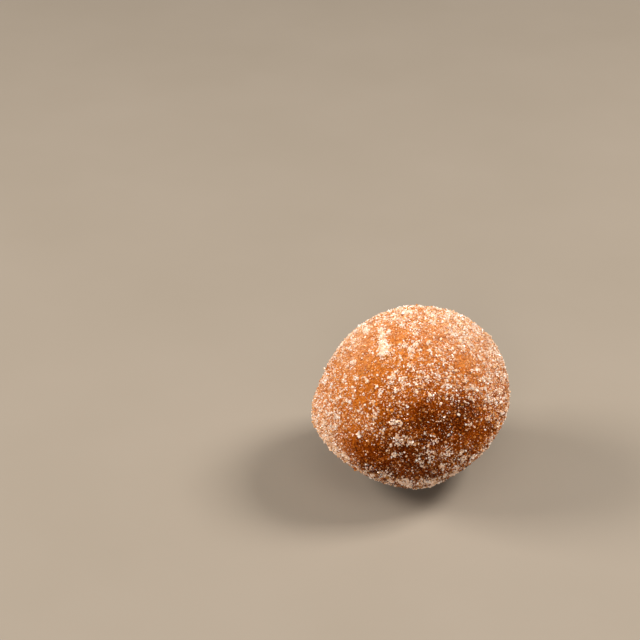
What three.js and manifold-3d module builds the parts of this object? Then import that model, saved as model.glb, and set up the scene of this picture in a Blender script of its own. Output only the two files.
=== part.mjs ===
// Quark doughnut ball: one uneven ball of fried dough in a coat of sugar, standing on a small flat spot.
// Millimetres, +Z up. The origin is on the flat spot, straight below the ball's middle.
// Directions from the ball's middle are given in degrees: turn counter-clockwise from +X, tilt up from level.

import * as THREE from "three";
import { mergeVertices } from "three/addons/utils/BufferGeometryUtils.js";
import Module from "manifold-3d";

// Driving dimensions of the dough, before its swells
const HALF_WIDTH = 24.6;
const HALF_DEPTH = 24;
const HALF_HEIGHT = 22.2;
const FLAT_SPOT_RISE = 1.1; // how much of the round underside the resting spot takes away
const BALL_SPLITS = 13; // each edge of the starting icosahedron is cut this many times

// Where the dough stands out (rise above 0) or is flattened (rise below 0), and over what angle
const SWELLS = [
  { name: "full shoulder", turn: 33, tilt: 43, spread: 25, rise: 0.8 },
  { name: "near side of the blunt end", turn: 197, tilt: -3, spread: 13, rise: 1.9 },
  { name: "far side of the blunt end", turn: 172, tilt: -17, spread: 13, rise: 0.7 },
  { name: "slope above the blunt end", turn: 165, tilt: 24, spread: 34, rise: -2.4 },
  { name: "flat under the blunt end", turn: 215, tilt: -45, spread: 22, rise: -1.1 },
  { name: "flat low on the right", turn: -25, tilt: -36, spread: 20, rise: -1.9 },
  { name: "flattened front", turn: -68, tilt: 15, spread: 24, rise: -0.6 },
  { name: "shallow fold", turn: 226, tilt: 34, spread: 7, rise: -0.35 },
  { name: "flat at the back", turn: 95, tilt: -8, spread: 26, rise: -0.9 },
];

// Slow waves of the skin, crossing the ball in evenly spread directions
const WAVES = 14;
const WAVE_HEIGHT = 0.04;
const SLOWEST_WAVE = 5; // radians of wave for one ball radius
const WAVE_STEP = 0.55; // how much quicker each further wave is

// Clumps of sugar that stand out of the coat, evenly spread except on the browned bare patches
const CLUMP_PLACES = 210;
const SMALLEST_CLUMP = 0.55; // radius
const LARGEST_CLUMP = 1.05;
const CLUMP_NARROWEST = 0.7; // least width against length
const CLUMP_FLATNESS = 0.72; // height against length
const CLUMP_SUNK = 0.3; // share of the radius that the middle lies below the skin
const CLUMP_JITTER = 0.05; // how far a clump strays from its even place, as a share of the ball's radius
const CLEAR_TILT = -62; // no clumps below this, round the flat spot
const BARE_PATCHES = [
  { name: "browned front", turn: -66, tilt: 22, spread: 13 },
  { name: "bare strip low at the front", turn: -93, tilt: -21, spread: 9 },
  { name: "bare right side", turn: -41, tilt: -5, spread: 11 },
  { name: "bare left side", turn: -123, tilt: -6, spread: 10 },
];
const SEED = 20417;

// White streak high at the front: clumps along an arc, growing towards its foot
const STREAK_TOP = { turn: 188, tilt: 69 };
const STREAK_FOOT = { turn: 234, tilt: 57 };
const STREAK_CLUMPS = 18;
const STREAK_TOP_CLUMP = 0.6; // radius
const STREAK_FOOT_CLUMP = 1.05;

// Colour of the crust with the sugar on it
const SUGARED_CRUST = { color: 0xc9823f, roughness: 0.75, metalness: 0 };

const GOLDEN_ANGLE = Math.PI * (3 - Math.sqrt(5));
const SAME_PLACE = 1e-4; // corners closer than this are one

const wasm = await Module();
wasm.setup();

// Unit vector of a turn and a tilt in degrees
function direction({ turn, tilt }) {
  const around = THREE.MathUtils.degToRad(turn);
  const up = THREE.MathUtils.degToRad(tilt);
  const level = Math.cos(up);
  return new THREE.Vector3(level * Math.cos(around), level * Math.sin(around), Math.sin(up));
}

// The place with this number, of so many spread evenly over the unit ball on a golden spiral
function evenDirection(number, places) {
  const z = 1 - (2 * number + 1) / places;
  const level = Math.sqrt(1 - z * z);
  const around = GOLDEN_ANGLE * number;
  return new THREE.Vector3(level * Math.cos(around), level * Math.sin(around), z);
}

// How strongly a place with a turn, tilt and spread is felt along a unit vector: 1 in its middle, fading out
function nearness(unit, place) {
  const apart = THREE.MathUtils.radToDeg(unit.angleTo(direction(place)));
  return Math.exp(-0.5 * (apart / place.spread) ** 2);
}

// Height of the slow waves along a unit vector
function skinWaves(unit) {
  let height = 0;
  for (let number = 0; number < WAVES; number++) {
    const quickness = SLOWEST_WAVE + WAVE_STEP * number;
    height += WAVE_HEIGHT * Math.sin(quickness * unit.dot(evenDirection(number, WAVES)) + number);
  }
  return height;
}

// Distance from the ball's middle to its skin along a unit vector
function skinRadius(unit) {
  const level = Math.hypot(unit.x / HALF_WIDTH, unit.y / HALF_DEPTH, unit.z / HALF_HEIGHT);
  const swollen = SWELLS.reduce((sum, swell) => sum + swell.rise * nearness(unit, swell), 1 / level);
  return swollen + skinWaves(unit);
}

// Run of numbers between 0 and 1, the same each time
function seededDraws(seed) {
  const FACTOR = 48271;
  const MODULUS = 2147483647;
  let state = seed;
  return () => {
    state = (state * FACTOR) % MODULUS;
    return state / MODULUS;
  };
}

// Closed solid of a geometry
function solidOf(geometry) {
  const bare = geometry.clone();
  bare.deleteAttribute("normal");
  bare.deleteAttribute("uv");
  const merged = mergeVertices(bare, SAME_PLACE);
  const vertProperties = merged.attributes.position.array;
  const triVerts = new Uint32Array(merged.index.array);
  return new wasm.Manifold(new wasm.Mesh({ numProp: 3, vertProperties, triVerts }));
}

// Geometry of a solid, with flat faces
function geometryOf(solid) {
  const mesh = solid.getMesh();
  const geometry = new THREE.BufferGeometry();
  geometry.setAttribute("position", new THREE.BufferAttribute(mesh.vertProperties, 3));
  geometry.setIndex(new THREE.BufferAttribute(mesh.triVerts, 1));
  geometry.computeVertexNormals();
  return geometry;
}

// The dough: a fine icosahedron whose every corner is drawn out to the skin
function doughSolid() {
  const geometry = new THREE.IcosahedronGeometry(1, BALL_SPLITS);
  const corners = geometry.attributes.position;
  const corner = new THREE.Vector3();
  for (let number = 0; number < corners.count; number++) {
    corner.fromBufferAttribute(corners, number).normalize();
    corner.multiplyScalar(skinRadius(corner));
    corners.setXYZ(number, corner.x, corner.y, corner.z);
  }
  return solidOf(geometry);
}

// One craggy clump of sugar, sunk a little into the skin along a unit vector and turned at random about it
function clumpSolid(unit, radius, draw) {
  const middle = unit.clone().multiplyScalar(skinRadius(unit) - CLUMP_SUNK * radius);
  const upright = new THREE.Quaternion().setFromUnitVectors(new THREE.Vector3(0, 0, 1), unit);
  const spun = new THREE.Quaternion().setFromAxisAngle(unit, 2 * Math.PI * draw());
  const narrowness = THREE.MathUtils.lerp(CLUMP_NARROWEST, 1, draw());
  const size = new THREE.Vector3(radius, radius * narrowness, radius * CLUMP_FLATNESS);
  const placed = new THREE.Matrix4().compose(middle, spun.multiply(upright), size);
  return solidOf(new THREE.IcosahedronGeometry(1, 0).applyMatrix4(placed));
}

// A unit vector strayed a little at random
function strayed(unit, draw) {
  const stray = () => CLUMP_JITTER * (2 * draw() - 1);
  return unit.add(new THREE.Vector3(stray(), stray(), stray())).normalize();
}

// Clumps at even places, each strayed a little, left out where the patches are bare or the ball stands
function scatteredClumps(draw) {
  const clumps = [];
  for (let number = 0; number < CLUMP_PLACES; number++) {
    const unit = strayed(evenDirection(number, CLUMP_PLACES), draw);
    const radius = THREE.MathUtils.lerp(SMALLEST_CLUMP, LARGEST_CLUMP, draw() ** 2);
    const bareness = Math.max(...BARE_PATCHES.map((patch) => nearness(unit, patch)));
    const standing = unit.z < Math.sin(THREE.MathUtils.degToRad(CLEAR_TILT));
    const kept = draw() > bareness && !standing;
    if (kept) clumps.push(clumpSolid(unit, radius, draw));
  }
  return clumps;
}

// Clumps of the white streak
function streakClumps(draw) {
  const top = direction(STREAK_TOP);
  const foot = direction(STREAK_FOOT);
  return Array.from({ length: STREAK_CLUMPS }, (_, number) => {
    const share = number / (STREAK_CLUMPS - 1);
    const unit = strayed(top.clone().lerp(foot, share), draw);
    const radius = THREE.MathUtils.lerp(STREAK_TOP_CLUMP, STREAK_FOOT_CLUMP, share);
    return clumpSolid(unit, radius, draw);
  });
}

// The ball cut off at its flat spot and set down on it
function standingBall() {
  const standingHeight = HALF_HEIGHT - FLAT_SPOT_RISE; // of the ball's middle
  const below = new THREE.BoxGeometry(4 * HALF_WIDTH, 4 * HALF_DEPTH, HALF_HEIGHT);
  below.translate(0, 0, -standingHeight - HALF_HEIGHT / 2);
  const draw = seededDraws(SEED);
  const clumps = [...scatteredClumps(draw), ...streakClumps(draw)];
  const sugared = clumps.reduce((ball, clump) => ball.add(clump), doughSolid());
  const geometry = geometryOf(sugared.subtract(solidOf(below)));
  return geometry.translate(0, 0, standingHeight);
}

const doughnutBall = new THREE.Mesh(standingBall(), new THREE.MeshStandardMaterial(SUGARED_CRUST));
doughnutBall.name = "doughnut_ball";

const part = new THREE.Group();
part.add(doughnutBall);

export default part;
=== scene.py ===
"""Looks of a quark doughnut ball: a browned crust under a coat of sugar crystals, on a plain pale floor.

Metres, in the part's own frame: +Z up, the origin on the flat spot straight below the ball's middle.
Directions from the ball's middle are in degrees: turn counter-clockwise from +X, tilt up from level.
"""

import math

import bmesh
import bpy
import numpy as np
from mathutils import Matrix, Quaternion, Vector, noise


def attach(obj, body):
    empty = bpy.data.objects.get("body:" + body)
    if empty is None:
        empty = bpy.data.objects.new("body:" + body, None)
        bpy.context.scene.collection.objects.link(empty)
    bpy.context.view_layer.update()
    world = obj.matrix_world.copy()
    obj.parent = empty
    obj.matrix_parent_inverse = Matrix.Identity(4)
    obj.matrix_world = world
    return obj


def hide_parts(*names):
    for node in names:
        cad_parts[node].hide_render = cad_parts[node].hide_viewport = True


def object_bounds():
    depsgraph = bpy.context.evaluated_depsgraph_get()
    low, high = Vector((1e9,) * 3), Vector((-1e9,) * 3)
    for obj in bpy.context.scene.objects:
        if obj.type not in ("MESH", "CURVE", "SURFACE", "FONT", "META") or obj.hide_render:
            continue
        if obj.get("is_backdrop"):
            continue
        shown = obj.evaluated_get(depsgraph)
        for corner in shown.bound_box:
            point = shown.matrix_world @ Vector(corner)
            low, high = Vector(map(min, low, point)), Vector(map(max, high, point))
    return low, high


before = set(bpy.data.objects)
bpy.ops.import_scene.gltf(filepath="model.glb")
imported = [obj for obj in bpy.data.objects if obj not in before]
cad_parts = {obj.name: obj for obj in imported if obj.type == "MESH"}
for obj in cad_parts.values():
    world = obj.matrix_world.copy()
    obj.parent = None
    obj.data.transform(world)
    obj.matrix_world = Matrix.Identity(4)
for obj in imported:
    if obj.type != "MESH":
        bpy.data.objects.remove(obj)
CAD_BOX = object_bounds()

MM = 0.001
GOLDEN_ANGLE = math.pi * (3 - math.sqrt(5))

# Form of the dough, with the same values as the part's source
HALF_SIZE = np.array((24.6, 24.0, 22.2)) * MM
FLAT_SPOT_RISE = 1.1 * MM
MIDDLE = np.array((0.0, 0.0, HALF_SIZE[2] - FLAT_SPOT_RISE))
SWELLS = {  # turn, tilt, spread, rise in millimetres
    "full shoulder": (33, 43, 25, 0.8),
    "near side of the blunt end": (197, -3, 13, 1.9),
    "far side of the blunt end": (172, -17, 13, 0.7),
    "slope above the blunt end": (165, 24, 34, -2.4),
    "flat under the blunt end": (215, -45, 22, -1.1),
    "flat low on the right": (-25, -36, 20, -1.9),
    "flattened front": (-68, 15, 24, -0.6),
    "shallow fold": (226, 34, 7, -0.35),
    "flat at the back": (95, -8, 26, -0.9),
}
WAVES = 14
WAVE_HEIGHT = 0.04 * MM
SLOWEST_WAVE = 5.0  # radians of wave for one ball radius
WAVE_STEP = 0.55

# Relief of the crust: width, height and noise shift of its blisters and wrinkles, and its pores
CRUST_SPLITS = 7
CRUST_RELIEF = ((3.2 * MM, 0.10 * MM, 0.0), (1.5 * MM, 0.055 * MM, 5.0))
PORE_WIDTH = 0.35 * MM
PORE_DEPTH = 0.1 * MM
PORE_STRENGTH = 0.7

# Where the crust is browned more (above 0) or less (below 0), and darker with painted shade low at the front,
# underneath and beside the fold: turn, tilt, spread, amount
BROWNING_AND_SHADE = {
    "dark front": (-83, 26, 10, 0.38),
    "dark front, right": (-61, 13, 9, 0.28),
    "above the dark front": (-78, 41, 7, -0.13),
    "right of the dark front": (-56, 24, 7, 0.2),
    # Darker low on the right: partly browner crust, partly painted shade.
    "low on the right": (-62, -13, 9, 0.1),
    "right side": (-20, 22, 15, 0.2),
    # Browner front, darker low down: partly browner crust, partly painted shade.
    "browner front with painted shade low down": (-90, -5, 30, 0.11),
    "dark patch low at the front": (-95, -3, 9, 0.34),
    "amber strip low at the front": (-97, -14, 5, -0.15),
    "brown left side": (-121, -3, 12, 0.15),
    "golden left side": (-138, -9, 6, -0.2),
    "left of the middle": (-121, 28, 7, 0.06),
    # Darker beside the fold: painted shade in the crease.
    "painted shade beside the fold": (-133, 32, 5, 0.15),
    # Darker underneath: browner crust and painted shade where the ball stands on the floor.
    "browner underside with painted shade": (-90, -60, 33, 0.6),
    "golden right shoulder": (-33, 43, 16, -0.2),
    "pale top": (0, 88, 40, -0.35),
    "pale blunt end": (205, 18, 26, -0.4),
    "pale upper left": (200, 52, 18, -0.4),
    "brown back": (75, 12, 20, 0.25),
    "brown back, low": (125, -20, 16, 0.3),
}
COMMON_BROWNING = 0.5
BROWNING_PATCHES = ((7.0 * MM, 0.2, 3.7), (2.6 * MM, 0.16, 8.7))  # width, strength, noise shift

# Where finest sugar hazes the crust and, less, the crystals: turn, tilt, spread, amount
HAZE = {
    "upper right": (5, 50, 21, 0.25),
    "top": (66, 80, 20, 0.14),
    "upper right rim": (28, 38, 14, 0.22),
    "right rim": (2, 18, 13, 0.08),
    "upper left rim": (163, 48, 13, 0.22),
    "upper left": (195, 48, 14, 0.16),
    "blunt end": (195, 2, 13, 0.25),
    "left rim": (209, -17, 9, 0.36),
    "bottom rim": (-92, -42, 12, 0.06),
    "back": (130, 30, 22, 0.15),
}
THICKEST_HAZE = 0.8
HAZE_PATCHES = ((3.0 * MM, 0.5, 53.9), (0.9 * MM, 0.5, 58.9))  # width, strength, noise shift

# Where the sugar lies thicker (above 0) or thinner (below 0): turn, tilt, spread, amount
COAT = {
    "top": (60, 78, 22, 0.3),
    "upper right": (0, 52, 18, 0.28),
    "upper right rim": (28, 36, 14, 0.22),
    "right rim": (-2, 24, 15, 0.2),
    "upper left": (187, 50, 12, 0.12),
    "blunt end": (200, 0, 15, 0.26),
    "left rim": (215, -18, 11, 0.5),
    "bottom": (-97, -34, 14, 0.06),
    "low on the right": (-71, -12, 9, 0.18),
    "right shoulder": (-56, 37, 8, 0.24),
    "golden right shoulder": (-42, 42, 8, -0.32),
    "right side": (-30, 26, 9, 0.26),
    "middle band": (-93, 41, 11, 0.15),
    "middle band, right": (-77, 40, 7, 0.3),
    "left of the middle": (-111, 26, 8, 0.15),
    "left, low": (-120, 13, 6, 0.25),
    "dark front": (-81, 23, 9, -0.5),
    "dark front, right": (-57, 25, 8, -0.1),
    "bare left side": (-121, -6, 9, -0.8),
    "golden left side": (-137, -9, 5, -0.35),
    # Thinner coat beside the fold, so it looks darker: painted shade in the crease.
    "painted shade beside the fold": (-125, 37, 6, -0.3),
    "left of the dark front": (-103, 17, 5, -0.3),
    "bare strip low at the front": (-95, -13, 10, -0.6),
    "bare right side": (-47, 2, 9, -0.48),
    "bare strip on the right": (-62, 9, 7, -0.45),
    "dark patch low at the front": (-90, -2, 6, 0.05),
    "streak, upper end": (203, 68, 4, 0.4),
    "streak, lower end": (227, 61, 4, 0.5),
    "left of the streak": (-160, 58, 7, -0.5),
    "right of the streak": (-130, 73, 7, -0.45),
    "bare upper left": (-136, 44, 8, -0.25),
    "bare back": (80, 5, 16, -0.25),
    "back rim": (140, 30, 18, 0.25),
}
COMMON_COAT = 0.5
THICKEST_COAT = 1.6
COAT_PATCHES = ((5.0 * MM, 0.3, 11.3), (1.4 * MM, 0.45, 16.3))  # width, strength, noise shift

# Which crystals are milky: single ones, the more the thicker the coat; those that stand up highest, whitened
# partly as a painted highlight where they catch the light; and most of those in drifts, which start above a
# certain coat
SINGLE_SHARE = 0.25
STANDING_HIGHLIGHT_SHARE = 0.7
STANDING_RARITY = 3
DRIFT_COAT = 0.62
DRIFT_GAIN = 1.3
DRIFT_PATCHES = ((1.8 * MM, 0.4, 31.1), (0.8 * MM, 0.45, 36.1))  # width, strength, noise shift
# On a bare crust the few whiter clear crystals stand in for glints: painted highlights.
CLEAR_RARITY = (6.5, 1.0)  # of whiter ones among the clear ones, on a bare crust and on a coated one
MILKY_WHITENESS = (0.35, 1.0)

# Loose crystals: smallest and largest size and the cell that holds at most one of them, in millimetres,
# how many are tried, the share that lies even where the coat is bare, and how easily they are milky
LOOSE_SUGAR = {
    "sugar_coarse": {"sizes": (0.45, 0.68), "cell": 0.5, "tried": 4000, "everywhere": 0.05, "milky": 1.0},
    "sugar_medium": {"sizes": (0.22, 0.42), "cell": 0.3, "tried": 28000, "everywhere": 0.25, "milky": 1.0},
    "sugar_chips": {"sizes": (0.24, 0.39), "cell": 0.22, "tried": 70000, "everywhere": 0.5, "milky": 0.3},
    "sugar_dust": {"sizes": (0.15, 0.28), "cell": 0.16, "tried": 60000, "everywhere": 0.3, "milky": 0.7},
}
SUGAR_SEED = 7
SUGAR_STRETCH = (0.5, 1.5)  # length of each side of a crystal against its size
LOOSE_LIFT = (0.05, 0.75)  # height of a crystal's middle over the crust against its size
HEAPED_COAT = 0.8  # above this coat the crystals lie on each other
HEAPED_LIFT = 0.8 * MM

# Forms of a crystal against its size: a flattened block, a stubby prism with six sides and a splinter
BLOCK_SIDES = (1.0, 0.85, 0.75)
PRISM = {"segments": 6, "radius1": 0.5, "radius2": 0.42, "depth": 0.85}
SPLINTER = {"segments": 3, "radius1": 0.55, "radius2": 0.0, "depth": 0.8}
BAKE_TRIANGLE = ((0.2, 0.2), (0.8, 0.2), (0.5, 0.8))  # where each of its faces lies in its bake cell

# Tufts where white crystals lie closest: turn, tilt, radius in millimetres, crystals
TUFTS = {
    "streak, top": (186, 69, 0.9, 44),
    "streak, upper end": (205, 67, 0.9, 84),
    "streak, middle": (219, 64, 1.1, 140),
    "streak, lower end": (229, 61, 1.4, 170),
    "streak, foot": (232, 57, 1.3, 110),
    "right of the streak": (-106, 67, 1.2, 44),
    "top of the front": (-94, 64, 1.2, 44),
    "top of the front, right": (-83, 69, 1.1, 34),
    "above the dark front": (-94, 51, 1.4, 30),
    "left of the middle": (-110, 41, 1.5, 40),
    "right of the middle": (-80, 45, 1.5, 46),
    "on the fold": (220, 36, 1.0, 14),
    "on the dark front": (-64, 30, 1.2, 16),
    "right of the dark front": (-52, 26, 1.6, 22),
    "below the dark front, right": (-55, 11, 1.4, 22),
    "left, low": (-115, 21, 1.5, 24),
    "left, lowest": (-118, 12, 1.4, 20),
    "below the middle, left": (-100, 8, 1.4, 22),
    "below the middle, right": (-78, 7, 1.3, 13),
    "blunt end": (-143, 11, 2.2, 44),
    "blunt end, low": (-146, -2, 2.0, 36),
    "blunt end, rim": (-143, -12, 2.2, 56),
    "low on the right, upper": (-71, -4, 1.5, 36),
    "low on the right, lower": (-58, -13, 1.4, 38),
    "low at the front": (-81, -3, 1.4, 28),
    "low at the front, left": (-87, -8, 1.0, 14),
    "dark patch low at the front": (-97, -2, 1.2, 10),
    "bottom, left": (-108, -24, 2.1, 52),
    "bottom, middle": (-95, -28, 2.4, 64),
    "bottom, right": (-80, -30, 2.2, 52),
    "right side": (-35, 18, 1.9, 36),
    "back, upper": (120, 48, 2.0, 48),
    "back, left": (150, 8, 2.1, 44),
    "back, right": (52, 20, 1.9, 36),
    "back, low": (95, -18, 2.1, 44),
}

# Clusters of white crystals stuck together: how many are tried, the share that lies even where the coat is
# bare, the least and largest radius, how rare large ones are, and the crystals for a radius of a millimetre
CLUSTERS_TRIED = 1000
CLUSTERS_EVERYWHERE = 0.04
CLUSTER_RADIUS = (0.25 * MM, 0.9 * MM)
CLUSTER_RARITY = 2
CLUSTER_CRYSTALS = 32

# Crystals in a tuft or a cluster
HEAP_SPREAD = 0.5  # how far they stray, against the radius
HEAP_SIZES = (0.22 * MM, 0.44 * MM)
HEAP_LIFT = (0.05 * MM, 0.4 * MM)
HEAP_WHITENESS = (0.55, 1.0)

# Clumps of sugar, with the same rule and values as the part's source
CLUMP_PLACES = 210
SMALLEST_CLUMP = 0.55 * MM
LARGEST_CLUMP = 1.05 * MM
CLUMP_RARITY = 2  # how rare large ones are
CLUMP_NARROWEST = 0.7
CLUMP_FLATNESS = 0.72
CLUMP_SUNK = 0.3
CLUMP_JITTER = 0.05
CLEAR_TILT = -62  # no clumps below this
BARE_PATCHES = {  # turn, tilt, spread
    "browned front": (-66, 22, 13),
    "bare strip low at the front": (-93, -21, 9),
    "bare right side": (-41, -5, 11),
    "bare left side": (-123, -6, 10),
}
CLUMP_SEED = 20417
STREAK_TOP = (188, 69)
STREAK_FOOT = (234, 57)
STREAK_CLUMPS = 18
STREAK_TOP_CLUMP = 0.6 * MM
STREAK_FOOT_CLUMP = 1.05 * MM

# What a clump is made of
CLUMP_CRYSTALS = 48  # in a clump with a radius of one millimetre
CLUMP_SIZES = (0.28 * MM, 0.5 * MM)
CLUMP_DEPTHS = (0.25, 0.85)  # how far its crystals lie from its middle, against its radius
MILKY_CLUMP_COAT = 0.5  # where the coat is thinner, the clumps are clearer

# Colours of the crust from pale golden to dark brown, of its haze, and of crystals from clear to white, with
# the values of their materials
CRUST_TONES = (
    (0.0, (0.65, 0.215, 0.030)),
    (0.25, (0.55, 0.148, 0.010)),
    (0.5, (0.40, 0.083, 0.003)),
    (0.75, (0.24, 0.038, 0.0008)),
    (1.0, (0.085, 0.0115, 0.0)),
)
MOTTLING = 1.5  # how much fine spots change the browning
MOTTLE_WIDTH = 0.42 * MM
MIDDLE_OF_NOISE = 0.467  # spots of this value leave the browning as it is
SPOT_DETAIL = 3
HAZE_COLOUR = (0.88, 0.59, 0.38)
DUSTED_SHARE = 0.45  # how much of the haze lies on the crystals as well
SUGAR_TONES = (
    (0.0, (0.68, 0.23, 0.02)),
    (0.35, (0.84, 0.37, 0.08)),
    (0.7, (0.94, 0.66, 0.46)),
    (1.0, (0.98, 0.90, 0.84)),
)
HIDING = (1.5, -0.05)  # factor and offset from how white a crystal is to how much it hides the crust
SUGAR_IOR = 1.54
CLEAR_TONE_STRAY = (-0.5, 0.34)  # how much paler or browner than the crust a clear crystal may look
WHITE_SUGAR_GLOSS = 0.3  # specular level
CLEAR_SUGAR_GLOSS = 0.5
CRUST_GLOSS = 0.01
WHITE_GLINT = (1.0, 1.0, 1.0)  # tint of what a crystal mirrors
AMBER_GLINT = (1.0, 0.55, 0.25)
SUGAR_ROUGHNESS = 0.05
CRUST_ROUGHNESS = 0.6
MIX_INPUTS = (0, 6, 7)  # sockets of a mix node: share, first colour, second colour
MIX_OUTPUT = 2  # its mixed colour

# Camera: the photograph's frame in pixels and where the ball lies in it, its lens in millimetres
PHOTO_SIDE = 640
BALL_PIXEL = (410.4, 397.0)
BALL_PIXELS_WIDE = 201
BALL_WIDTH = 50.5 * MM  # over the sugar
CAMERA_TILT = 31
LENS = 102.0
SENSOR = 36.0
CLIP_START = 0.01

# Soft lights: strong ones on both sides, a little from behind, and weak ones overhead and in front
LIGHT_DISTANCE = 0.9
LIGHT_COLOUR = (1.0, 0.97, 0.92)
LIGHTS = {
    "overhead": {"turn": -90, "tilt": 70, "side": 0.6, "watts": 2.2},
    "right": {"turn": 12, "tilt": 50, "side": 0.3, "watts": 8.0},
    "left": {"turn": 175, "tilt": 34, "side": 0.4, "watts": 7.4},
    "front": {"turn": -98, "tilt": 28, "side": 0.25, "watts": 2.6},
}
ROOM_COLOUR = (1.0, 0.98, 0.95)
ROOM_STRENGTH = 0.06
FLOOR_RADIUS = 3.0
FLOOR_SEGMENTS = 96
FLOOR_SPOT_WIDTH = 60 * MM
FLOOR_ROUGHNESS = 0.7
FLOOR_TONES = ((0.3, (0.295, 0.245, 0.192)), (0.7, (0.31, 0.258, 0.205)))


# Directions and form


def unit_vector(turn, tilt):
    """Unit vector of a turn and a tilt in degrees."""
    around, up = math.radians(turn), math.radians(tilt)
    level = math.cos(up)
    return np.array((level * math.cos(around), level * math.sin(around), math.sin(up)))


def normalized(vectors):
    """Vectors of length one, along the last axis."""
    return vectors / np.linalg.norm(vectors, axis=-1, keepdims=True)


def between(first, second, share):
    """Value between two others: the first for a share of 0, the second for 1."""
    return first + (second - first) * share


def even_directions(count):
    """Unit vectors spread evenly over the ball on a golden spiral."""
    number = np.arange(count)
    z = 1 - (2 * number + 1) / count
    level = np.sqrt(1 - z * z)
    around = GOLDEN_ANGLE * number
    return np.stack((level * np.cos(around), level * np.sin(around), z), axis=1)


def nearness(units, turn, tilt, spread):
    """How strongly a place is felt along each unit vector: 1 in its middle, fading out over its spread."""
    apart = np.degrees(np.arccos(np.clip(units @ unit_vector(turn, tilt), -1, 1)))
    return np.exp(-0.5 * (apart / spread) ** 2)


def summed(units, places):
    """Sum of the amounts of named places, each felt as far as it spreads."""
    return sum(amount * nearness(units, *where) for *where, amount in places.values())


def patches(points, layers):
    """Sum of layers of smooth noise, each with its width, strength and shift."""
    return sum(
        strength * np.array([noise.noise(point) for point in points / width + shift])
        for width, strength, shift in layers
    )


def skin_radius(units):
    """Distance from the ball's middle to its skin along each unit vector."""
    radius = 1 / np.linalg.norm(units / HALF_SIZE, axis=1) + summed(units, SWELLS) * MM
    for number, crossing in enumerate(even_directions(WAVES)):
        quickness = SLOWEST_WAVE + WAVE_STEP * number
        radius += WAVE_HEIGHT * np.sin(quickness * (units @ crossing) + number)
    return radius


def browning_and_shade_at(units, points):
    """How brown the crust is, with painted shade low at the front, underneath and beside the fold: 0 is pale
    golden, 1 is dark brown.
    """
    return np.clip(COMMON_BROWNING + summed(units, BROWNING_AND_SHADE) + patches(points, BROWNING_PATCHES), 0, 1)


def haze_at(units, points):
    """How much finest sugar hazes the crust: 0 is none, 1 hides its colour."""
    return np.clip(summed(units, HAZE) * (1 + patches(points, HAZE_PATCHES)), 0, THICKEST_HAZE)


def coat_at(units, points):
    """How thick the sugar lies: 0 is bare, 1 covers the crust."""
    return np.clip(COMMON_COAT + summed(units, COAT) + patches(points, COAT_PATCHES), 0, THICKEST_COAT)


def whiteness_at(draw, points, coat, standing, milky):
    """How white each crystal is: close to 0 for clear ones, close to 1 for milky ones and for those whitened
    as a painted highlight.
    """
    drifted = np.clip(DRIFT_GAIN * (coat - DRIFT_COAT + patches(points, DRIFT_PATCHES)), 0, 1)
    # Crystals that stand up are whitened partly as a painted highlight, where they catch the light.
    single = coat * (SINGLE_SHARE + STANDING_HIGHLIGHT_SHARE * standing ** STANDING_RARITY)
    whitened = draw.uniform(size=len(points)) < milky * (single + drifted)
    # On a bare crust only a few clear crystals are whiter, standing in for glints: painted highlights.
    clear_whiteness = draw.uniform(size=len(points)) ** between(*CLEAR_RARITY, np.minimum(coat, 1))
    return np.where(whitened, draw.uniform(*MILKY_WHITENESS, size=len(points)), clear_whiteness)


# Crust and crystals


def piece_from(mesh, material):
    """Object of a finished mesh, riding on the part."""
    piece = bpy.data.objects.new(mesh.name, mesh)
    bpy.context.scene.collection.objects.link(piece)
    mesh.materials.append(material)
    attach(piece, "root")
    return piece


def add_values(mesh, name, values):
    """Float attribute with one value for each vertex."""
    mesh.attributes.new(name, "FLOAT", "POINT").data.foreach_set("value", values.astype(np.float32))


def crust_mesh():
    """The browned skin of the ball, flat where it stands."""
    shape = bmesh.new()
    bmesh.ops.create_icosphere(shape, subdivisions=CRUST_SPLITS, radius=1.0)
    mesh = bpy.data.meshes.new("crust")
    shape.to_mesh(mesh)
    shape.free()
    units = np.empty(3 * len(mesh.vertices), np.float32)
    mesh.vertices.foreach_get("co", units)
    units = normalized(units.reshape(-1, 3).astype(float))
    points = units * skin_radius(units)[:, None]
    add_values(mesh, "browning_and_shade", browning_and_shade_at(units, points))
    add_values(mesh, "haze", haze_at(units, points))
    points += units * patches(points, CRUST_RELIEF)[:, None] + MIDDLE
    points[:, 2] = np.maximum(points[:, 2], 0.0)
    mesh.vertices.foreach_set("co", points.astype(np.float32).ravel())
    mesh.polygons.foreach_set("use_smooth", np.ones(len(mesh.polygons), bool))
    mesh.update()
    return mesh


def corners_and_faces(shape):
    """Corners and triangles of a small bmesh as arrays."""
    bmesh.ops.triangulate(shape, faces=shape.faces)
    shape.verts.index_update()
    corners = np.array([corner.co for corner in shape.verts])
    faces = np.array([[corner.index for corner in face.verts] for face in shape.faces])
    shape.free()
    return corners, faces


def crystal_block():
    """Corners and triangles of a flattened block, as sugar grows."""
    shape = bmesh.new()
    bmesh.ops.create_cube(shape, size=1.0)
    bmesh.ops.scale(shape, vec=BLOCK_SIDES, verts=shape.verts)
    return corners_and_faces(shape)


def crystal_cone(**form):
    """Corners and triangles of a crystal that narrows towards one end, or to a point there."""
    shape = bmesh.new()
    bmesh.ops.create_cone(shape, cap_ends=True, cap_tris=False, **form)
    return corners_and_faces(shape)


def random_draws(name):
    """Random numbers for the piece with that name, the same each time."""
    return np.random.default_rng((SUGAR_SEED, *name.encode()))


def random_turns(draw, count):
    """Rotation matrices with no preferred direction."""
    w, x, y, z = normalized(draw.normal(size=(count, 4))).T
    rows = (
        (1 - 2 * (y * y + z * z), 2 * (x * y - z * w), 2 * (x * z + y * w)),
        (2 * (x * y + z * w), 1 - 2 * (x * x + z * z), 2 * (y * z - x * w)),
        (2 * (x * z - y * w), 2 * (y * z + x * w), 1 - 2 * (x * x + y * y)),
    )
    return np.array(rows).transpose(2, 0, 1)


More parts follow.
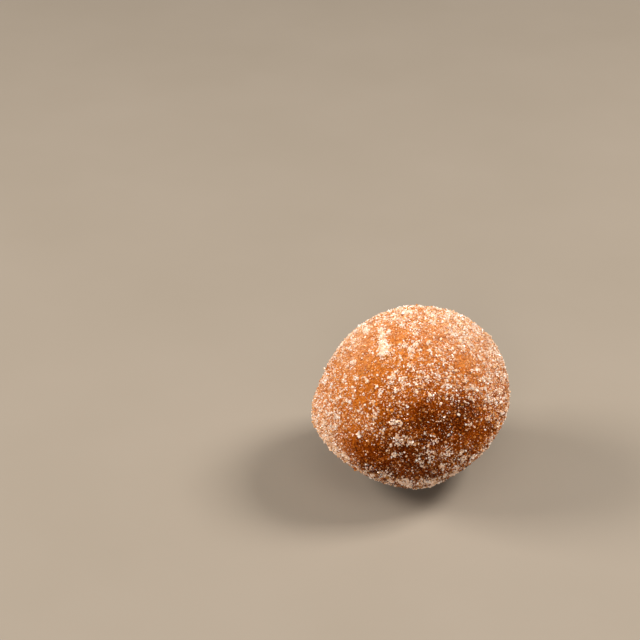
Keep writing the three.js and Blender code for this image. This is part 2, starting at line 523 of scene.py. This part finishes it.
def add_bake_cells(mesh, count, faces_each):
    """Map with one square cell for each crystal, which all its triangles share."""
    across = math.ceil(math.sqrt(count))
    cell = np.stack(np.divmod(np.arange(count), across), axis=1)
    corners = (cell[:, None, None] + np.tile(BAKE_TRIANGLE, (faces_each, 1, 1))) / across
    mesh.uv_layers.new(name="OFBake").data.foreach_set("uv", corners.astype(np.float32).ravel())


def crystals_mesh(name, crystal, draw, places, sizes, whiteness):
    """One mesh of many turned copies of a crystal, each knowing the crust below it and how white it is."""
    corners, faces = crystal
    count = len(places)
    stretch = draw.uniform(*SUGAR_STRETCH, size=(count, 1, 3)) * sizes[:, None, None]
    points = np.einsum("nij,nvj->nvi", random_turns(draw, count), corners * stretch)
    points += places[:, None]
    first = np.arange(count)[:, None, None] * len(corners)
    mesh = bpy.data.meshes.new(name)
    mesh.from_pydata(points.reshape(-1, 3), [], (faces + first).reshape(-1, 3))
    units = normalized(places - MIDDLE)
    below = units * skin_radius(units)[:, None]
    # Clear crystals take the crust's browning and its painted shade.
    browning_and_shade = browning_and_shade_at(units, below) + draw.uniform(*CLEAR_TONE_STRAY, size=count)
    add_values(mesh, "browning_and_shade", np.repeat(np.clip(browning_and_shade, 0, 1), len(corners)))
    add_values(mesh, "haze", np.repeat(haze_at(units, below), len(corners)))
    add_values(mesh, "whiteness", np.repeat(whiteness, len(corners)))
    add_bake_cells(mesh, count, len(faces))
    return mesh


def loose_mesh(name, crystal, draw, sizes, cell, tried, everywhere, milky):
    """Loose crystals over the whole ball, thick where the coat is thick, none in the floor."""
    units = normalized(draw.normal(size=(tried, 3)))
    points = units * skin_radius(units)[:, None]
    coat = coat_at(units, points)
    size = MM * draw.uniform(*sizes, size=tried)
    standing = draw.uniform(size=tried)
    lift = size * between(*LOOSE_LIFT, standing ** STANDING_RARITY)
    lift += np.clip(coat - HEAPED_COAT, 0, 1) * draw.uniform(0, HEAPED_LIFT, size=tried)
    places = points + units * lift[:, None] + MIDDLE
    whiteness = whiteness_at(draw, points, coat, standing, milky)
    share = between(everywhere, 1, coat)
    kept = np.flatnonzero((draw.uniform(size=tried) < share) & (places[:, 2] > size))
    alone = kept[np.unique(np.floor(places[kept] / (cell * MM)), axis=0, return_index=True)[1]]
    return crystals_mesh(name, crystal, draw, places[alone], size[alone], whiteness[alone])


def heaps_mesh(name, crystal, draw, middles, radii, crystals):
    """White crystals heaped round unit vectors, thinning out towards the rim of each heap."""
    strays = draw.normal(size=(crystals.sum(), 3)) * HEAP_SPREAD * np.repeat(radii, crystals)[:, None]
    units = normalized(np.repeat(middles, crystals, axis=0) + strays / HALF_SIZE)
    sizes = draw.uniform(*HEAP_SIZES, size=len(units))
    lift = draw.uniform(*HEAP_LIFT, size=len(units))
    places = units * (skin_radius(units) + lift)[:, None] + MIDDLE
    whiteness = draw.uniform(*HEAP_WHITENESS, size=len(units))
    clear = places[:, 2] > sizes
    return crystals_mesh(name, crystal, draw, places[clear], sizes[clear], whiteness[clear])


def tufts_mesh(crystal, draw):
    """The named tufts."""
    turn, tilt, radius, crystals = np.array(list(TUFTS.values())).T
    middles = np.array([unit_vector(*place) for place in zip(turn, tilt)])
    return heaps_mesh("sugar_tufts", crystal, draw, middles, radius * MM, crystals.astype(int))


def clusters_mesh(crystal, draw):
    """Clusters over the whole ball, close together where the coat is thick."""
    units = normalized(draw.normal(size=(CLUSTERS_TRIED, 3)))
    radii = between(*CLUSTER_RADIUS, draw.uniform(size=CLUSTERS_TRIED) ** CLUSTER_RARITY)
    crystals = np.ceil(CLUSTER_CRYSTALS * (radii / MM) ** 2).astype(int)
    coat = coat_at(units, units * skin_radius(units)[:, None])
    kept = draw.uniform(size=CLUSTERS_TRIED) < between(CLUSTERS_EVERYWHERE, 1, coat)
    return heaps_mesh("sugar_clusters", crystal, draw, units[kept], radii[kept], crystals[kept])


def seeded_draws(seed):
    """Function that gives a run of numbers between 0 and 1, the same as in the part's source."""
    factor, modulus = 48271, 2147483647
    state = seed

    def draw():
        nonlocal state
        state = state * factor % modulus
        return state / modulus

    return draw


def strayed(unit, draw):
    """A unit vector strayed a little at random."""
    return normalized(unit + np.array([CLUMP_JITTER * (2 * draw() - 1) for _ in range(3)]))


def clump_form(unit, radius, draw):
    """Middle of a clump, the matrix that makes a unit ball into it, and its radius."""
    middle = unit * (skin_radius(unit[None])[0] - CLUMP_SUNK * radius) + MIDDLE
    upright = Vector((0, 0, 1)).rotation_difference(Vector(unit))
    spun = Quaternion(unit, 2 * math.pi * draw())
    narrowness = between(CLUMP_NARROWEST, 1, draw())
    stretch = radius * np.array((1, narrowness, CLUMP_FLATNESS))
    return middle, np.array((spun @ upright).to_matrix()) * stretch, radius


def clump_forms():
    """Form of each clump, by the rule of the part's source: scattered ones, then those of the streak."""
    draw = seeded_draws(CLUMP_SEED)
    for even in even_directions(CLUMP_PLACES):
        unit = strayed(even, draw)
        radius = between(SMALLEST_CLUMP, LARGEST_CLUMP, draw() ** CLUMP_RARITY)
        bareness = max(nearness(unit[None], *patch)[0] for patch in BARE_PATCHES.values())
        standing = unit[2] < math.sin(math.radians(CLEAR_TILT))
        if draw() > bareness and not standing:
            yield clump_form(unit, radius, draw)
    for share in np.linspace(0, 1, STREAK_CLUMPS):
        unit = strayed(between(unit_vector(*STREAK_TOP), unit_vector(*STREAK_FOOT), share), draw)
        yield clump_form(unit, between(STREAK_TOP_CLUMP, STREAK_FOOT_CLUMP, share), draw)


def clumps_mesh(crystal, draw):
    """Clumps of small crystals where the solid has its lumps."""
    places = []
    for middle, form, radius in clump_forms():
        crystals = round(CLUMP_CRYSTALS * (radius / MM) ** 2)
        inside = normalized(draw.normal(size=(crystals, 3))) * draw.uniform(*CLUMP_DEPTHS, size=(crystals, 1))
        places.append(middle + inside @ form.T)
    places = np.concatenate(places)
    sizes = draw.uniform(*CLUMP_SIZES, size=len(places))
    coat = coat_at(normalized(places - MIDDLE), places - MIDDLE)
    whiteness = draw.uniform(*MILKY_WHITENESS, size=len(places)) * np.clip(coat / MILKY_CLUMP_COAT, 0, 1)
    clear = places[:, 2] > sizes
    return crystals_mesh("sugar_clumps", crystal, draw, places[clear], sizes[clear], whiteness[clear])


# Materials


def new_material(name):
    """Node material with its nodes, its links and its shader."""
    material = bpy.data.materials.new(name)
    material.use_nodes = True
    tree = material.node_tree
    return material, tree.nodes, tree.links, tree.nodes["Principled BSDF"]


def attribute(nodes, name):
    """Value of a float attribute of the mesh."""
    node = nodes.new("ShaderNodeAttribute")
    node.attribute_name = name
    return node.outputs["Fac"]


def ramp(nodes, links, value, stops):
    """Colour of a value on a ramp with (place, colour) stops."""
    node = nodes.new("ShaderNodeValToRGB")
    elements = node.color_ramp.elements
    while len(elements) < len(stops):
        elements.new(1.0)
    for element, (place, colour) in zip(elements, stops):
        element.position = place
        element.color = (*colour, 1.0)
    links.new(value, node.inputs["Fac"])
    return node.outputs["Color"]


def spots(nodes, links, width):
    """Noise over the object, with spots of that width in metres."""
    where = nodes.new("ShaderNodeTexCoord")
    node = nodes.new("ShaderNodeTexNoise")
    node.inputs["Scale"].default_value = 1 / width
    node.inputs["Detail"].default_value = SPOT_DETAIL
    links.new(where.outputs["Object"], node.inputs["Vector"])
    return node.outputs["Fac"]


def connect(links, value, socket):
    """A socket fed by another one, or set to a fixed value."""
    if isinstance(value, bpy.types.NodeSocket):
        links.new(value, socket)
    else:
        socket.default_value = value


def mixed(nodes, links, share, first, second):
    """Colour between two others."""
    node = nodes.new("ShaderNodeMix")
    node.data_type = "RGBA"
    for value, socket in zip((share, first, second), MIX_INPUTS):
        connect(links, value, node.inputs[socket])
    return node.outputs[MIX_OUTPUT]


def scaled(nodes, links, value, factor, offset, clamp=True):
    """Value times a factor plus an offset, kept between 0 and 1 if clamped."""
    node = nodes.new("ShaderNodeMath")
    node.operation = "MULTIPLY_ADD"
    node.use_clamp = clamp
    for number, fed in enumerate((value, factor, offset)):
        connect(links, fed, node.inputs[number])
    return node.outputs[0]


def crust_tone(nodes, links, browning_and_shade):
    """Colour of the crust for a browning value, hazed by finest sugar."""
    tone = ramp(nodes, links, browning_and_shade, CRUST_TONES)
    return mixed(nodes, links, attribute(nodes, "haze"), tone, (*HAZE_COLOUR, 1.0))


def crust_material():
    """Fried crust: golden to dark brown, with fine spots and pores, hazed where sugar has dusted it."""
    material, nodes, links, shader = new_material("fried_crust")
    middle = -MOTTLING * MIDDLE_OF_NOISE
    browning_and_shade = scaled(nodes, links, attribute(nodes, "browning_and_shade"), 1.0, middle, clamp=False)
    mottled = scaled(nodes, links, spots(nodes, links, MOTTLE_WIDTH), MOTTLING, browning_and_shade)
    links.new(crust_tone(nodes, links, mottled), shader.inputs["Base Color"])
    bump = nodes.new("ShaderNodeBump")
    bump.inputs["Strength"].default_value = PORE_STRENGTH
    bump.inputs["Distance"].default_value = PORE_DEPTH
    links.new(spots(nodes, links, PORE_WIDTH), bump.inputs["Height"])
    links.new(bump.outputs["Normal"], shader.inputs["Normal"])
    shader.inputs["Roughness"].default_value = CRUST_ROUGHNESS
    shader.inputs["Specular IOR Level"].default_value = CRUST_GLOSS
    return material


def sugar_material(name, gloss, glint):
    """Sugar: white crystals, and clear ones that take on the colour of the crust below them."""
    material, nodes, links, shader = new_material(name)
    crust = crust_tone(nodes, links, attribute(nodes, "browning_and_shade"))
    whiteness = attribute(nodes, "whiteness")
    milky = ramp(nodes, links, whiteness, SUGAR_TONES)
    sugar = mixed(nodes, links, scaled(nodes, links, whiteness, *HIDING), crust, milky)
    dusted = scaled(nodes, links, attribute(nodes, "haze"), DUSTED_SHARE, 0.0)
    links.new(mixed(nodes, links, dusted, sugar, (*HAZE_COLOUR, 1.0)), shader.inputs["Base Color"])
    shader.inputs["Roughness"].default_value = SUGAR_ROUGHNESS
    shader.inputs["IOR"].default_value = SUGAR_IOR
    shader.inputs["Specular IOR Level"].default_value = gloss
    shader.inputs["Specular Tint"].default_value = (*glint, 1.0)
    return material


def floor_material():
    """Plain pale floor with a hardly visible unevenness."""
    material, nodes, links, shader = new_material("pale_floor")
    tone = ramp(nodes, links, spots(nodes, links, FLOOR_SPOT_WIDTH), FLOOR_TONES)
    links.new(tone, shader.inputs["Base Color"])
    shader.inputs["Roughness"].default_value = FLOOR_ROUGHNESS
    return material


# Stage


def add_floor():
    """Large round floor that the ball stands on."""
    shape = bmesh.new()
    bmesh.ops.create_circle(shape, cap_ends=True, segments=FLOOR_SEGMENTS, radius=FLOOR_RADIUS)
    mesh = bpy.data.meshes.new("floor")
    shape.to_mesh(mesh)
    shape.free()
    mesh.materials.append(floor_material())
    floor = bpy.data.objects.new("floor", mesh)
    bpy.context.scene.collection.objects.link(floor)
    floor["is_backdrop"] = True


def add_camera():
    """Camera at the photograph's angle, with the ball where the photograph has it."""
    data = bpy.data.cameras.new("camera")
    data.lens = LENS
    data.sensor_width = SENSOR
    data.clip_start = CLIP_START
    focal = LENS / SENSOR * PHOTO_SIDE
    tilt = math.radians(CAMERA_TILT)
    ahead = np.array((0.0, math.cos(tilt), -math.sin(tilt)))
    up = np.array((0.0, math.sin(tilt), math.cos(tilt)))
    right = np.array((1.0, 0.0, 0.0))
    across = (BALL_PIXEL[0] - PHOTO_SIDE / 2) / focal
    down = (BALL_PIXEL[1] - PHOTO_SIDE / 2) / focal
    away = focal * BALL_WIDTH / BALL_PIXELS_WIDE
    camera = bpy.data.objects.new("camera", data)
    camera.location = MIDDLE - away * (ahead + across * right - down * up)
    camera.rotation_euler = (math.pi / 2 - tilt, 0.0, 0.0)
    bpy.context.scene.collection.objects.link(camera)
    bpy.context.scene.camera = camera


def add_light(name, turn, tilt, side, watts):
    """Soft square light that faces the ball."""
    data = bpy.data.lights.new(name, "AREA")
    data.size = side
    data.energy = watts
    data.color = LIGHT_COLOUR
    light = bpy.data.objects.new(name, data)
    towards = unit_vector(turn, tilt)
    light.location = MIDDLE + LIGHT_DISTANCE * towards
    light.rotation_mode = "QUATERNION"
    light.rotation_quaternion = Vector(-towards).to_track_quat("-Z", "Y")
    bpy.context.scene.collection.objects.link(light)


def add_room():
    """Weak light from all round."""
    world = bpy.data.worlds.new("room")
    world.use_nodes = True
    background = world.node_tree.nodes["Background"]
    background.inputs["Color"].default_value = (*ROOM_COLOUR, 1.0)
    background.inputs["Strength"].default_value = ROOM_STRENGTH
    bpy.context.scene.world = world


def build_ball():
    """The crust, and on it every kind of sugar."""
    white = sugar_material("white_sugar", WHITE_SUGAR_GLOSS, WHITE_GLINT)
    clear = sugar_material("clear_sugar", CLEAR_SUGAR_GLOSS, AMBER_GLINT)
    prism, block, splinter = crystal_cone(**PRISM), crystal_block(), crystal_cone(**SPLINTER)
    looks = {
        "sugar_coarse": (prism, white),
        "sugar_medium": (block, white),
        "sugar_chips": (splinter, clear),
        "sugar_dust": (splinter, clear),
    }
    crust = piece_from(crust_mesh(), crust_material())
    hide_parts("doughnut_ball")
    for name, sugar in LOOSE_SUGAR.items():
        crystal, material = looks[name]
        piece_from(loose_mesh(name, crystal, random_draws(name), **sugar), material)
    piece_from(tufts_mesh(prism, random_draws("sugar_tufts")), white)
    piece_from(clusters_mesh(block, random_draws("sugar_clusters")), white)
    piece_from(clumps_mesh(block, random_draws("sugar_clumps")), white)


build_ball()
add_floor()
add_camera()
for name, light in LIGHTS.items():
    add_light(name, **light)
add_room()
bpy.context.scene.view_settings.view_transform = "Standard"

boxes = {"cad": CAD_BOX, "visual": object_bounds()}
{name: [list(corner) for corner in box] for name, box in boxes.items()}
